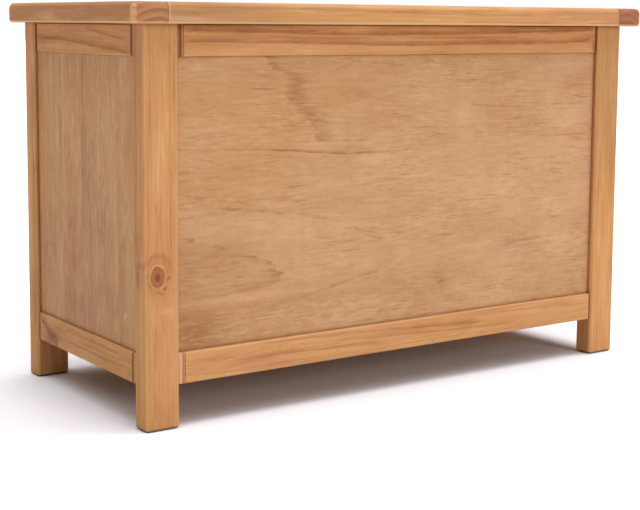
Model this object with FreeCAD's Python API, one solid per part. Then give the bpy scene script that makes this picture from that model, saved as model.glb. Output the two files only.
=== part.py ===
"""Panelled pine storage ottoman: a box on four legs with a hinged lid, hinges and slotted lid stays.

Millimetres. +Z is up, +X runs along the length, the front faces -Y and the hinges are at +Y.
The origin is on the floor, in the middle of the overall box.
"""
import FreeCAD, Part
import math
import os
from FreeCAD import Vector

# Driving sizes of the whole
overall_height = 480.0
carcass_length = 736.0
carcass_depth = 328.0
lid_thickness = 24.0
lid_end_overhang = 22.0
lid_front_overhang = 17.0

# Legs
leg_width = 43.0
leg_depth = 28.0
leg_edge_radius = 4.0
foot_edge_radius = 3.5

# Rails, with a tenon at each end, where the face falls away to the leg in a narrow step and a round
rail_height = 36.0
rail_thickness = 20.0
rail_floor_gap = 50.0
top_rail_recess = 2.5
bottom_rail_recess = 1.0
rail_edge_radius = 2.0
rail_end_length = 8.0
rail_end_step = 0.6
rail_end_drop = 2.0
tenon_thickness = 8.0
tenon_shoulder = 6.0
long_tenon_length = 20.0
end_tenon_length = 18.0
mortise_spare_depth = 1.0

# Panels in their grooves
panel_thickness = 6.0
long_panel_recess = 7.5
end_panel_recess = 5.5
groove_depth = 7.0
groove_spare_depth = 1.0

# Base panel and the cleats under it
base_thickness = 9.0
base_clearance = 0.5
cleat_width = 18.0
cleat_height = 18.0
cleat_rise = 2.0
cleat_end_gap = 0.5
cleat_screw_margin = 60.0
long_cleat_screws = 4
end_cleat_screws = 2

# Lid boards and end caps
lid_boards = ("front", "mid_front", "mid_back", "back")
cap_width = 44.0
lid_corner_radius = 7.4
lid_top_radius = 7.0
lid_lower_radius = 4.0
tongue_length = 10.0
tongue_thickness = 8.0
tongue_edge_stop = 15.0
tongue_spare_depth = 1.0

# Butt hinges
hinge_length = 60.0
hinge_end_inset = 118.0
hinge_knuckles = 5
knuckle_gap = 0.2
barrel_radius = 3.25
barrel_edge_gap = 0.35
hinge_pin_radius = 1.75
pin_running_clearance = 0.05
pin_head_radius = 2.6
pin_head_height = 1.2
leaf_thickness = 1.6
leaf_width = 20.0
leaf_gap = 0.3
leaf_housing_gap = 0.2
leaf_screws = 3
leaf_screw_spacing = 21.0
leaf_screw_inset = 8.0

# Slotted lid stays
lid_opening_deg = 95.0
stay_radius = 130.0
stud_drop = 26.0
pivot_drop = 8.0
arm_width = 13.0
arm_thickness = 2.0
arm_side_gap = 0.3
slot_clearance = 0.3
stud_shoulder_radius = 3.0
stud_collar_radius = 5.5
stud_collar_length = 2.5
stud_head_radius = 5.5
stud_head_height = 2.4
stud_shank_radius = 2.0
stud_shank_length = 15.0
rivet_radius = 2.5
rivet_head_radius = 4.5
rivet_head_height = 1.4
bracket_thickness = 2.0
bracket_length = 36.0
bracket_width = 14.0
bracket_corner_radius = 3.0
bracket_screw_spacing = 24.0

# Countersunk wood screws: fittings, cleats and base
fitting_screw_radius = 1.5
fitting_screw_head_radius = 2.9
fitting_screw_head_depth = 1.4
fitting_screw_length = 16.0
cleat_screw_radius = 1.8
cleat_screw_head_radius = 3.6
cleat_screw_head_depth = 1.8
cleat_screw_length = 30.0
base_screw_radius = 1.6
base_screw_head_radius = 3.2
base_screw_head_depth = 1.6
base_screw_length = 24.0
screw_hole_clearance = 0.05
screw_tip_share = 0.2
cross_width_share = 0.28
cross_length_share = 1.2
cross_depth_share = 0.6

# Places worked out from the sizes above
rim_height = overall_height - lid_thickness
lid_length = carcass_length + lid_end_overhang + lid_end_overhang
lid_depth = carcass_depth + lid_front_overhang
axis_offset = barrel_radius + barrel_edge_gap
overall_depth = lid_depth + axis_offset + barrel_radius
lid_front_y = -overall_depth / 2
carcass_front_y = lid_front_y + lid_front_overhang
carcass_back_y = carcass_front_y + carcass_depth
carcass_middle_y = carcass_front_y + carcass_depth / 2
half_length = carcass_length / 2
hinge_axis_y = carcass_back_y + axis_offset
hinge_centre_x = half_length - hinge_end_inset
base_floor_z = rail_floor_gap + cleat_rise + cleat_height
rail_recess = {"top": top_rail_recess, "bottom": bottom_rail_recess}
rail_low_z = {"top": rim_height - rail_height, "bottom": rail_floor_gap}
panel_low_z = rail_floor_gap + rail_height
panel_high_z = rim_height - rail_height
long_rail_length = carcass_length - leg_width - leg_width
end_rail_length = carcass_depth - leg_depth - leg_depth

# Each kind of screw: shank radius, head radius, head depth, length
wood_screw = (fitting_screw_radius, fitting_screw_head_radius, fitting_screw_head_depth, fitting_screw_length)
cleat_screw = (cleat_screw_radius, cleat_screw_head_radius, cleat_screw_head_depth, cleat_screw_length)
base_screw = (base_screw_radius, base_screw_head_radius, base_screw_head_depth, base_screw_length)

SIDES = {"left": -1, "right": 1}
FACES = {"front": -1, "back": 1}
X_AXIS = Vector(1, 0, 0)
Y_AXIS = Vector(0, 1, 0)
Z_AXIS = Vector(0, 0, 1)
PLACE_TOLERANCE = 1e-6


def box(x, y, z):
    """A box from three (low, high) spans."""
    low = Vector(min(x), min(y), min(z))
    return Part.makeBox(max(x) - min(x), max(y) - min(y), max(z) - min(z), low)


def rod(radius, start, direction, length):
    """A round bar from a start point along a unit direction."""
    return Part.makeCylinder(radius, length, start, direction)


def edges_where(shape, test):
    """The straight edges of a shape whose two end points pass a test."""
    chosen = []
    for edge in shape.Edges:
        ends = [vertex.Point for vertex in edge.Vertexes]
        if len(ends) == 2 and test(ends[0], ends[1]):
            chosen.append(edge)
    return chosen


def same(a, b):
    """Whether two places are one."""
    return abs(a - b) < PLACE_TOLERANCE


def edges_at(shape, height):
    """The edges of a shape that lie at one height."""
    return [edge for edge in shape.Edges if all(same(vertex.Z, height) for vertex in edge.Vertexes)]


def save(shape, node):
    """Writes one piece to its own file."""
    shape.exportStep(os.path.join("parts", node + ".step"))


def screw(sizes, head_place, direction):
    """A countersunk wood screw whose flat head lies at a place, pointing along a direction."""
    shank, head, depth, length = sizes
    tip = shank * screw_tip_share
    cone = Part.makeCone(head, shank, depth, head_place, direction)
    shaft = rod(shank, head_place, direction, length - shank)
    point = Part.makeCone(shank, tip, shank, head_place + direction * (length - shank), direction)
    solid = cone.fuse([shaft, point]).removeSplitter()
    turn = FreeCAD.Rotation(Z_AXIS, direction)
    arm = head * cross_length_share / 2
    half = head * cross_width_share / 2
    sunk = depth * cross_depth_share
    for size_x, size_y in ((arm, half), (half, arm)):
        slot = box((-size_x, size_x), (-size_y, size_y), (-sunk, sunk))
        slot.Placement = FreeCAD.Placement(head_place, turn)
        solid = solid.cut(slot)
    return solid


def screw_hole(sizes, head_place, direction):
    """The countersunk hole that a wood screw fills, with clearance all round."""
    shank, head, depth, length = sizes
    cone = Part.makeCone(
        head + screw_hole_clearance, shank + screw_hole_clearance, depth, head_place, direction
    )
    shaft = rod(shank + screw_hole_clearance, head_place, direction, length + screw_hole_clearance)
    return cone.fuse(shaft)


def long_span(face, start, thickness):
    """The Y span of something set in from the front or back face of the legs."""
    if face == "front":
        return (carcass_front_y + start, carcass_front_y + start + thickness)
    return (carcass_back_y - start, carcass_back_y - start - thickness)


def end_span(side, start, thickness):
    """The X span of something set in from the left or right face of the legs."""
    outer = SIDES[side] * half_length
    return (outer - SIDES[side] * start, outer - SIDES[side] * (start + thickness))


def tenon_spans(level):
    """Height of a rail's tenon, and its place behind the outer face of the legs."""
    low = rail_low_z[level]
    height = (low + tenon_shoulder, low + rail_height - tenon_shoulder)
    start = rail_recess[level] + (rail_thickness - tenon_thickness) / 2
    return height, start


def make_leg(side, face):
    """A leg with rounded edges, two mortises for each wall and a groove for each panel."""
    x_span = end_span(side, 0, leg_width)
    y_span = long_span(face, 0, leg_depth)
    leg = box(x_span, y_span, (0, rim_height))
    upright = edges_where(leg, lambda a, b: same(a.x, b.x) and same(a.y, b.y))
    leg = leg.makeFillet(leg_edge_radius, upright)
    leg = leg.makeFillet(foot_edge_radius, edges_at(leg, 0))
    inner_x = end_span(side, leg_width - groove_depth, groove_depth)
    inner_y = long_span(face, leg_depth - groove_depth, groove_depth)
    groove_z = (panel_low_z - groove_depth, panel_high_z + groove_depth)
    cuts = [
        box(inner_x, long_span(face, long_panel_recess, panel_thickness), groove_z),
        box(end_span(side, end_panel_recess, panel_thickness), inner_y, groove_z),
    ]
    long_depth = long_tenon_length + mortise_spare_depth
    end_depth = end_tenon_length + mortise_spare_depth
    for level in rail_low_z:
        height, start = tenon_spans(level)
        long_x = end_span(side, leg_width - long_depth, long_depth)
        cuts.append(box(long_x, long_span(face, start, tenon_thickness), height))
        end_y = long_span(face, leg_depth - end_depth, end_depth)
        cuts.append(box(end_span(side, start, tenon_thickness), end_y, height))
    return leg.cut(cuts)


def make_rail(level, half_span, thickness_span, tenon_span, tenon_length, groove_span, lengthwise):
    """A rail along X (lengthwise) or Y, with eased outer edges, rounded ends, a panel groove and tenons."""
    low = rail_low_z[level]
    high = low + rail_height
    middle = 0 if lengthwise else carcass_middle_y
    outer, inner = thickness_span
    inward = math.copysign(1, inner - outer)

    def bar(along, across, height):
        """A box given along the rail and across it."""
        span = (middle + along[0], middle + along[1])
        return box(span, across, height) if lengthwise else box(across, span, height)

    rail = bar((-half_span, half_span), thickness_span, (low, high))

    def on_outer_edge(a, b):
        """Whether an edge runs along the rail on its outer face."""
        across = (a.y, b.y) if lengthwise else (a.x, b.x)
        return same(a.z, b.z) and same(across[0], outer) and same(across[1], outer)

    def end_waste(end):
        """What comes off one end of the outer face: a narrow step, then an easy round down to the leg."""
        radius = (rail_end_length**2 + rail_end_drop**2) / (2 * rail_end_drop)
        start = end * (half_span - rail_end_length)
        lowest = outer + inward * (rail_end_step + rail_end_drop)
        centre = outer + inward * (rail_end_step + radius)
        foot = (middle + start, centre, low) if lengthwise else (centre, middle + start, low)
        waste = bar((start, end * half_span), (outer, lowest), (low, high))
        return waste.cut(rod(radius, Vector(*foot), Vector(0, 0, 1), rail_height))

    rail = rail.makeFillet(rail_edge_radius, edges_where(rail, on_outer_edge))
    groove_z = (low, low + groove_depth) if level == "top" else (high - groove_depth, high)
    rail = rail.cut([bar((-half_span, half_span), groove_span, groove_z), end_waste(-1), end_waste(1)])
    tenon_z = tenon_spans(level)[0]
    tenons = [
        bar((end * half_span, end * (half_span + tenon_length)), tenon_span, tenon_z) for end in (-1, 1)
    ]
    return rail.fuse(tenons).removeSplitter()


def make_long_rail(face, level):
    """A front or back rail between two legs."""
    start = tenon_spans(level)[1]
    return make_rail(
        level,
        long_rail_length / 2,
        long_span(face, rail_recess[level], rail_thickness),
        long_span(face, start, tenon_thickness),
        long_tenon_length,
        long_span(face, long_panel_recess, panel_thickness),
        True,
    )


def make_end_rail(side, level):
    """A left or right rail between two legs."""
    start = tenon_spans(level)[1]
    return make_rail(
        level,
        end_rail_length / 2,
        end_span(side, rail_recess[level], rail_thickness),
        end_span(side, start, tenon_thickness),
        end_tenon_length,
        end_span(side, end_panel_recess, panel_thickness),
        False,
    )


def panel_spans(clear_half):
    """Half length and height of a panel that stands in its grooves."""
    reach = groove_depth - groove_spare_depth
    return clear_half + reach, (panel_low_z - reach, panel_high_z + reach)


def make_long_panel(face):
    """The plywood panel of the front or back."""
    half, height = panel_spans(long_rail_length / 2)
    return box((-half, half), long_span(face, long_panel_recess, panel_thickness), height)


def make_end_panel(side):
    """The panel of the left or right end."""
    half, height = panel_spans(end_rail_length / 2)
    y_span = (carcass_middle_y - half, carcass_middle_y + half)
    return box(end_span(side, end_panel_recess, panel_thickness), y_span, height)


def spread(count, margin, half):
    """Places spread evenly between two margins."""
    reach = half - margin
    return [-reach + 2 * reach * i / (count - 1) for i in range(count)]


def cleat_places():
    """Each cleat: its X and Y spans, the outward direction and the places of its screws."""
    start = bottom_rail_recess + rail_thickness
    height = rail_floor_gap + cleat_rise + cleat_height / 2
    places = {}
    half = long_rail_length / 2 - cleat_end_gap
    for face, sign in FACES.items():
        y_span = long_span(face, start, cleat_width)
        rows = [Vector(x, y_span[1], height) for x in spread(long_cleat_screws, cleat_screw_margin, half)]
        places[face] = ((-half, half), y_span, Y_AXIS * sign, rows)
    half = end_rail_length / 2 - cleat_end_gap
    y_span = (carcass_middle_y - half, carcass_middle_y + half)
    for side, sign in SIDES.items():
        x_span = end_span(side, start, cleat_width)
        rows = [
            Vector(x_span[1], carcass_middle_y + y, height)
            for y in spread(end_cleat_screws, cleat_screw_margin, half)
        ]
        places[side] = (x_span, y_span, X_AXIS * sign, rows)
    return places


def base_screw_places():
    """Places of the screws that hold the base panel down on the cleats, between the cleats' own screws."""
    places = []
    for x_span, y_span, outward, rows in cleat_places().values():
        middle = Vector(sum(x_span) / 2, sum(y_span) / 2, base_floor_z + base_thickness)
        along = Vector(abs(outward.y), abs(outward.x), 0)
        marks = [row.dot(along) for row in rows]
        for first, second in zip(marks, marks[1:]):
            offset = (first + second) / 2 - middle.dot(along)
            places.append(middle + along * offset)
    return places


def make_base():
    """The base panel, notched round the legs."""
    start = bottom_rail_recess + rail_thickness + base_clearance
    half_x = half_length - start
    y_span = (carcass_front_y + start, carcass_back_y - start)
    height = (base_floor_z, base_floor_z + base_thickness)
    cuts = [screw_hole(base_screw, place, -Z_AXIS) for place in base_screw_places()]
    for side in SIDES:
        for face in FACES:
            notch_x = end_span(side, 0, leg_width + base_clearance)
            notch_y = long_span(face, 0, leg_depth + base_clearance)
            cuts.append(box(notch_x, notch_y, height))
    return box((-half_x, half_x), y_span, height).cut(cuts)


def make_lid_blank():
    """The lid as one board with rounded corners and edges, before it is parted into its pieces."""
    half = lid_length / 2
    blank = box((-half, half), (lid_front_y, lid_front_y + lid_depth), (rim_height, overall_height))
    corners = edges_where(blank, lambda a, b: same(a.x, b.x) and same(a.y, b.y))
    blank = blank.makeFillet(lid_corner_radius, corners)
    blank = blank.makeFillet(lid_top_radius, edges_at(blank, overall_height))
    return blank.makeFillet(lid_lower_radius, edges_at(blank, rim_height))


def tongue_box(side, length):
    """The space of the tongue at one end of the lid boards."""
    joint_x = SIDES[side] * (lid_length / 2 - cap_width)
    middle = rim_height + lid_thickness / 2
    return box(
        (joint_x, joint_x + SIDES[side] * length),
        (lid_front_y + tongue_edge_stop, lid_front_y + lid_depth - tongue_edge_stop),
        (middle - tongue_thickness / 2, middle + tongue_thickness / 2),
    )


def make_lid_cap(blank, side):
    """An end cap of the lid, grooved for the boards' tongues."""
    outer = SIDES[side] * lid_length / 2
    y_span = (lid_front_y, lid_front_y + lid_depth)
    space = box((outer - SIDES[side] * cap_width, outer), y_span, (rim_height, overall_height))
    return blank.common(space).cut(tongue_box(side, tongue_length + tongue_spare_depth))


def make_lid_board(blank, index):
    """One lengthwise board of the lid, with a tongue at each end."""
    width = lid_depth / len(lid_boards)
    y_span = (lid_front_y + index * width, lid_front_y + (index + 1) * width)
    half = lid_length / 2 - cap_width
    board = blank.common(box((-half, half), y_span, (rim_height, overall_height)))
    row = box((-lid_length, lid_length), y_span, (rim_height, overall_height))
    tongues = [tongue_box(side, tongue_length).common(row) for side in SIDES]
    return board.fuse(tongues).removeSplitter()


def leaf_screw_places(centre_x, up):
    """Places of the screws of one hinge leaf, and the way they point."""
    half = leaf_screw_spacing * (leaf_screws - 1) / 2
    y = hinge_axis_y - leaf_width + leaf_screw_inset
    z = rim_height + up * leaf_gap / 2
    places = [Vector(centre_x + x, y, z) for x in spread(leaf_screws, 0, half)]
    return places, Z_AXIS * up


def leaf_housing(centre_x, up):
    """The shallow housing for one hinge leaf: in the rail (up = -1) or in the lid (up = 1)."""
    half = hinge_length / 2 + leaf_housing_gap
    sunk = leaf_gap / 2 + leaf_thickness
    return box(
        (centre_x - half, centre_x + half),
        (hinge_axis_y - leaf_width - leaf_housing_gap, hinge_axis_y),
        (rim_height, rim_height + up * sunk),
    )


def make_leaf(centre_x, up):
    """A hinge leaf with its knuckles: the rail leaf has the odd ones, the lid leaf the even ones."""
    near = (rim_height + up * leaf_gap / 2, rim_height + up * (leaf_gap / 2 + leaf_thickness))
    root_y = hinge_axis_y - axis_offset
    half = hinge_length / 2
    leaf = box((centre_x - half, centre_x + half), (root_y, hinge_axis_y - leaf_width), near)
    step = hinge_length / hinge_knuckles
    first = 0 if up < 0 else 1
    for i in range(first, hinge_knuckles, 2):
        low = centre_x - half + i * step + (knuckle_gap / 2 if i > 0 else 0)
        high = centre_x - half + (i + 1) * step - (knuckle_gap / 2 if i < hinge_knuckles - 1 else 0)
        barrel = rod(barrel_radius, Vector(low, hinge_axis_y, rim_height), X_AXIS, high - low)
        web = box((low, high), (hinge_axis_y, root_y), near)
        leaf = leaf.fuse([barrel, web])
    bore = rod(
        hinge_pin_radius + pin_running_clearance,
        Vector(centre_x - hinge_length, hinge_axis_y, rim_height),
        X_AXIS,
        hinge_length + hinge_length,
    )
    places, direction = leaf_screw_places(centre_x, up)
    holes = [screw_hole(wood_screw, place, direction) for place in places]
    return leaf.removeSplitter().cut([bore] + holes)


def make_hinge_pin(centre_x):
    """The pin of one hinge, with a head at each end."""
    half = hinge_length / 2
    start = centre_x - half - pin_head_height
    pin = rod(
        hinge_pin_radius,
        Vector(start, hinge_axis_y, rim_height),
        X_AXIS,
        hinge_length + pin_head_height + pin_head_height,
    )
    heads = [
        rod(pin_head_radius, Vector(x, hinge_axis_y, rim_height), X_AXIS, pin_head_height)
        for x in (start, centre_x + half)
    ]
    return pin.fuse(heads).removeSplitter()


# Lid stays: the rivet and the shoulder screw are both stay_radius away from the hinge axis
stud_y = hinge_axis_y - math.sqrt(stay_radius**2 - stud_drop**2)
stud_z = rim_height - stud_drop
pivot_y = hinge_axis_y - math.sqrt(stay_radius**2 - pivot_drop**2)
pivot_z = rim_height - pivot_drop
closed_angle = math.asin(stud_drop / stay_radius) - math.asin(pivot_drop / stay_radius)
open_angle = closed_angle + math.radians(lid_opening_deg)
slot_start = 2 * stay_radius * math.sin(closed_angle / 2)
slot_end = 2 * stay_radius * math.sin(open_angle / 2)
rail_inner_x = half_length - top_rail_recess - rail_thickness
arm_outer_x = rail_inner_x - stud_collar_length - arm_side_gap
arm_inner_x = arm_outer_x - arm_thickness
plate_outer_x = arm_inner_x - arm_side_gap


def across(side, start, end):
    """The X span between two distances from the middle, on one side."""
    return (SIDES[side] * start, SIDES[side] * end)


def make_stud(side):
    """The shoulder screw in the end rail that the slotted arm rides on."""
    inward = X_AXIS * -SIDES[side]
    seat = Vector(SIDES[side] * rail_inner_x, stud_y, stud_z)
    head_x = rail_inner_x - plate_outer_x
    pieces = [
        rod(stud_collar_radius, seat, inward, stud_collar_length),
        rod(stud_shoulder_radius, seat, inward, head_x),
        rod(stud_head_radius, seat + inward * head_x, inward, stud_head_height),
    ]
    shank = rod(stud_shank_radius, seat, inward * -1, stud_shank_length)
    stud = shank.fuse(pieces).removeSplitter()
    half = stud_head_radius * cross_width_share / 2
    sunk = stud_head_height * cross_depth_share
    face_x = plate_outer_x - stud_head_height
    slot = box(
        across(side, face_x, face_x + sunk),
        (stud_y - stud_head_radius, stud_y + stud_head_radius),
        (stud_z - half, stud_z + half),
    )
    return stud.cut(slot)


def stud_hole(side):
    """The hole in the end rail for the shoulder screw."""
    seat = Vector(SIDES[side] * rail_inner_x, stud_y, stud_z)
    depth = stud_shank_length + screw_hole_clearance
    return rod(stud_shank_radius + screw_hole_clearance, seat, X_AXIS * SIDES[side], depth)


def strap(x_span, start, end, half_width):
    """A flat bar with round ends along the stay, between two distances from the rivet."""
    direction = Vector(0, stud_y - pivot_y, stud_z - pivot_z).normalize()
    pivot = Vector(min(x_span), pivot_y, pivot_z)
    thickness = max(x_span) - min(x_span)
    ends = [rod(half_width, pivot + direction * place, X_AXIS, thickness) for place in (start, end)]
    side_step = X_AXIS.cross(direction) * half_width
    low = pivot + direction * start
    high = pivot + direction * end
    corners = [low + side_step, high + side_step, high - side_step, low - side_step, low + side_step]
    bar = Part.Face(Part.makePolygon(corners)).extrude(X_AXIS * thickness)
    return bar.fuse(ends).removeSplitter()


def make_arm(side):
    """The slotted arm of one stay."""
    x_span = across(side, arm_inner_x, arm_outer_x)
    arm = strap(x_span, 0, slot_end, arm_width / 2)
    slot = strap(x_span, slot_start, slot_end, stud_shoulder_radius + slot_clearance)
    eye = rod(
        rivet_radius + pin_running_clearance,
        Vector(min(x_span), pivot_y, pivot_z),
        X_AXIS,
        arm_thickness,
    )
    return arm.cut([slot, eye])


def bracket_screw_places(side):
    """Places of the two screws that hold a stay bracket under the lid."""
    x = SIDES[side] * (plate_outer_x - bracket_width / 2 - bracket_thickness / 2)
    z = rim_height - bracket_thickness
    half = bracket_screw_spacing / 2
    return [Vector(x, pivot_y + y, z) for y in (-half, half)]


def make_bracket(side):
    """The angle bracket under the lid that carries the rivet."""
    half = bracket_length / 2
    y_span = (pivot_y - half, pivot_y + half)
    flange = box(
        across(side, plate_outer_x, plate_outer_x - bracket_width),
        y_span,
        (rim_height - bracket_thickness, rim_height),
    )
    ear_x = across(side, plate_outer_x, plate_outer_x - bracket_thickness)
    ear_half = rivet_head_radius + bracket_corner_radius
    pivot = Vector(min(ear_x), pivot_y, pivot_z)
    ear = box(ear_x, (pivot_y - ear_half, pivot_y + ear_half), (pivot_z, rim_height))
    ear = ear.fuse(rod(ear_half, pivot, X_AXIS, bracket_thickness))
    eye = rod(rivet_radius, pivot, X_AXIS, bracket_thickness)
    holes = [screw_hole(wood_screw, place, Z_AXIS) for place in bracket_screw_places(side)]
    return flange.fuse(ear).removeSplitter().cut([eye] + holes)


def make_rivet(side):
    """The rivet through arm and bracket."""
    outward = X_AXIS * SIDES[side]
    bracket_face = plate_outer_x - bracket_thickness
    inner = Vector(SIDES[side] * bracket_face, pivot_y, pivot_z)
    length = arm_outer_x + arm_side_gap - bracket_face
    shank = rod(rivet_radius, inner, outward, length)
    heads = [
        rod(rivet_head_radius, inner, outward * -1, rivet_head_height),
        rod(rivet_head_radius, inner + outward * length, outward, rivet_head_height),
    ]
    return shank.fuse(heads).removeSplitter()


def build_carcass():
    """Legs, rails, panels, base and cleats."""
    for face in FACES:
        for side in SIDES:
            save(make_leg(side, face), "leg_" + face + "_" + side)
    cleats = cleat_places()
    for level in rail_low_z:
        for face in FACES:
            rail = make_long_rail(face, level)
            if level == "bottom":
                rail = rail.cut([screw_hole(cleat_screw, row, cleats[face][2]) for row in cleats[face][3]])
            elif face == "back":
                for side in SIDES.values():
                    places, direction = leaf_screw_places(side * hinge_centre_x, -1)
                    holes = [screw_hole(wood_screw, place, direction) for place in places]
                    rail = rail.cut([leaf_housing(side * hinge_centre_x, -1)] + holes)
            save(rail, "rail_" + face + "_" + level)
        for side in SIDES:
            rail = make_end_rail(side, level)
            if level == "bottom":
                rail = rail.cut([screw_hole(cleat_screw, row, cleats[side][2]) for row in cleats[side][3]])
            else:
                rail = rail.cut(stud_hole(side))
            save(rail, "rail_" + side + "_" + level)
    for face in FACES:
        save(make_long_panel(face), "panel_" + face)
    for side in SIDES:
        save(make_end_panel(side), "panel_" + side)
    build_base(cleats)


def build_base(cleats):
    """The base panel, its cleats and their screws."""
    save(make_base(), "base_panel")
    height = (rail_floor_gap + cleat_rise, base_floor_z)
    base_holes = [screw_hole(base_screw, place, -Z_AXIS) for place in base_screw_places()]
    screws = []
    for name, (x_span, y_span, outward, rows) in cleats.items():
        holes = [screw_hole(cleat_screw, row, outward) for row in rows]
        save(box(x_span, y_span, height).cut(holes + base_holes), "cleat_" + name)
        screws += [screw(cleat_screw, row, outward) for row in rows]
    save(Part.makeCompound(screws), "cleat_screws")
    screws = [screw(base_screw, place, -Z_AXIS) for place in base_screw_places()]
    save(Part.makeCompound(screws), "base_screws")


def build_lid():
    """Boards and end caps of the lid, housed for the hinges and drilled for the screws."""
    blank = make_lid_blank()
    for side in SIDES:
        save(make_lid_cap(blank, side), "lid_end_" + side)
    housings = []
    holes = []
    for side, sign in SIDES.items():
        places, direction = leaf_screw_places(sign * hinge_centre_x, 1)
        housings.append(leaf_housing(sign * hinge_centre_x, 1))
        holes += [screw_hole(wood_screw, place, direction) for place in places]
        holes += [screw_hole(wood_screw, place, Z_AXIS) for place in bracket_screw_places(side)]
    for index, name in enumerate(lid_boards):
        board = make_lid_board(blank, index)
        save(board.cut(housings + holes), "lid_board_" + name)


def build_hinges():
    """Two butt hinges and their screws."""
    screws = {"rail": [], "lid": []}
    for side, sign in SIDES.items():
        centre_x = sign * hinge_centre_x
        for carrier, up in (("rail", -1), ("lid", 1)):
            save(make_leaf(centre_x, up), "hinge_" + side + "_" + carrier + "_leaf")
            places, direction = leaf_screw_places(centre_x, up)
            screws[carrier] += [screw(wood_screw, place, direction) for place in places]
        save(make_hinge_pin(centre_x), "hinge_" + side + "_pin")
    for carrier, group in screws.items():
        save(Part.makeCompound(group), "hinge_" + carrier + "_screws")


def build_stays():
    """Two slotted lid stays and their screws."""
    screws = []
    for side in SIDES:
        save(make_stud(side), "stay_" + side + "_shoulder_screw")
        save(make_arm(side), "stay_" + side + "_arm")
        save(make_bracket(side), "stay_" + side + "_bracket")
        save(make_rivet(side), "stay_" + side + "_rivet")
        screws += [screw(wood_screw, place, Z_AXIS) for place in bracket_screw_places(side)]
    save(Part.makeCompound(screws), "stay_bracket_screws")


os.makedirs("parts", exist_ok=True)
build_carcass()
build_lid()
build_hinges()
build_stays()
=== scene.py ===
"""Panelled pine storage ottoman in a plain white studio: finishes, light and camera around the fixed frame.

Metres. +Z is up, the front faces -Y, the hinges are at +Y.
"""
import math
from typing import NamedTuple

import bpy
from mathutils import Matrix, Vector


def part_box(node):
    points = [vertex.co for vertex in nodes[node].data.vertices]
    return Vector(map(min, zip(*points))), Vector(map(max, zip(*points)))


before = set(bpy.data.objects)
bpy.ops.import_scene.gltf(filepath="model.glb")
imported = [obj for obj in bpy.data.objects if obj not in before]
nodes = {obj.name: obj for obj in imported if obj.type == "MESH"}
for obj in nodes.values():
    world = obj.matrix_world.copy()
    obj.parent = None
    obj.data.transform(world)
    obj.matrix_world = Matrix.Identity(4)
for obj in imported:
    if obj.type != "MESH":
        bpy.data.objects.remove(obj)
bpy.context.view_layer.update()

# Photograph's frame and the camera that took it
IMAGE_WIDTH = 640
IMAGE_HEIGHT = 510
FOCAL_PIXELS = 1395.9
AXIS_ROW = 180.0
CAMERA_PLACE = Vector((-1.0725, -1.5187, 0.4592))
CAMERA_YAW = math.radians(34.598)
CAMERA_PITCH = math.radians(6.465)
CAMERA_ROLL = math.radians(-0.392)
SENSOR_WIDTH = 36.0

# Light: a sky that is brightest overhead, a broad lamp high on the right and a weaker one low in front
SKY_LOW = 0.07
SKY_RISE = 2.88
SKY_POWER = 4.0
LAMP_ANGLE = math.radians(20)
LAMPS = [
    dict(name="side_lamp", azimuth=math.radians(70), elevation=math.radians(60), strength=0.95),
    dict(name="front_lamp", azimuth=math.radians(10), elevation=math.radians(20), strength=0.745),
]

# Floor: what it reflects, how it looks to the camera and how far a painted shadow darkens it near the
# object
FLOOR_SIZE = 60.0
FLOOR_DROP = 0.0004
FLOOR_ALBEDO = 0.86
FLOOR_SEEN = (1.17, 1.17, 1.23)
FLOOR_PAINTED_SHADOW = 0.34
FLOOR_PAINTED_SHADOW_REACH = 0.3

AXIS = {"x": 0, "y": 1, "z": 2}


def srgb(red, green, blue):
    """A colour given as it looks on a screen, 0 to 255, as linear light."""
    channels = []
    for value in (red, green, blue):
        share = value / 255
        channels.append(share / 12.92 if share <= 0.04045 else ((share + 0.055) / 1.055) ** 2.4)
    return (*channels, 1.0)


# Colours of the solid wood as they look in plain light
HONEY = srgb(205, 147, 90)
BLUSH = srgb(204, 141, 93)
GOLD = srgb(205, 150, 92)
APRICOT = srgb(204, 145, 95)
BISCUIT = srgb(211, 155, 102)
PEACH = srgb(209, 151, 104)
OAT = srgb(204, 150, 96)
SALMON = srgb(203, 145, 99)
COPPER = srgb(203, 144, 88)
BRICK = srgb(200, 136, 86)
CORN = srgb(208, 151, 96)
AMBER = srgb(170, 108, 60)
UMBER = srgb(122, 72, 42)
VEIN = srgb(148, 91, 48)
STRAW = srgb(226, 175, 122)
# Tone of worn edges, also used for painted highlights on edges and corners
WEAR_AND_HIGHLIGHT = srgb(229, 181, 132)
# Tone of a painted highlight on a rounded rail end
RAIL_END_HIGHLIGHT = srgb(240, 186, 154)
RUST = srgb(177, 121, 79)
CLAY = srgb(172, 115, 77)
END_GRAIN = srgb(181, 125, 86)
END_RING = srgb(134, 81, 52)
END_DARK = srgb(168, 110, 80)
SEAM = srgb(88, 50, 27)
KNOT_CORE = srgb(132, 68, 44)
KNOT_WOOD = srgb(160, 100, 62)
KNOT_RIM = srgb(134, 81, 43)

# Colours of the plywood and the metal
TAN = srgb(205, 160, 117)
TAN_DEEP = srgb(196, 147, 102)
SAND = srgb(213, 169, 126)
TOAST = srgb(200, 150, 103)
TOAST_DEEP = srgb(189, 137, 89)
ORANGE = srgb(196, 137, 87)
OLIVE = srgb(187, 145, 98)
PINK = srgb(205, 148, 111)
BROWN = srgb(159, 106, 63)
PLUM = srgb(156, 109, 82)
PALE = srgb(222, 180, 141)
STEEL = srgb(196, 184, 160)
BRASS = srgb(206, 170, 96)

# How far noise is spread, how far it must stray to show fully, flattest line drawn, rays per crevice
WANDER_GAIN = 4.0
WEAVE_REACH = 1.2
CURVE_LEAST_SPAN = 1e-6
CREVICE_SAMPLES = 8

# How a normal must lie to count as a face, as a lower edge or as an upright corner, softly from and to
FACE_SPAN = (0.86, 0.985)
HEM_SPAN = (0.1, 0.45)
CORNER_SPAN = (0.1, 0.36)

# Gloss and relief
WOOD_ROUGHNESS = 0.55
WOOD_SPECULAR = 0.15
METAL_SPECULAR = 0.5
ROUGHNESS_SWING = 0.03
RELIEF = 0.00001


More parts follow.
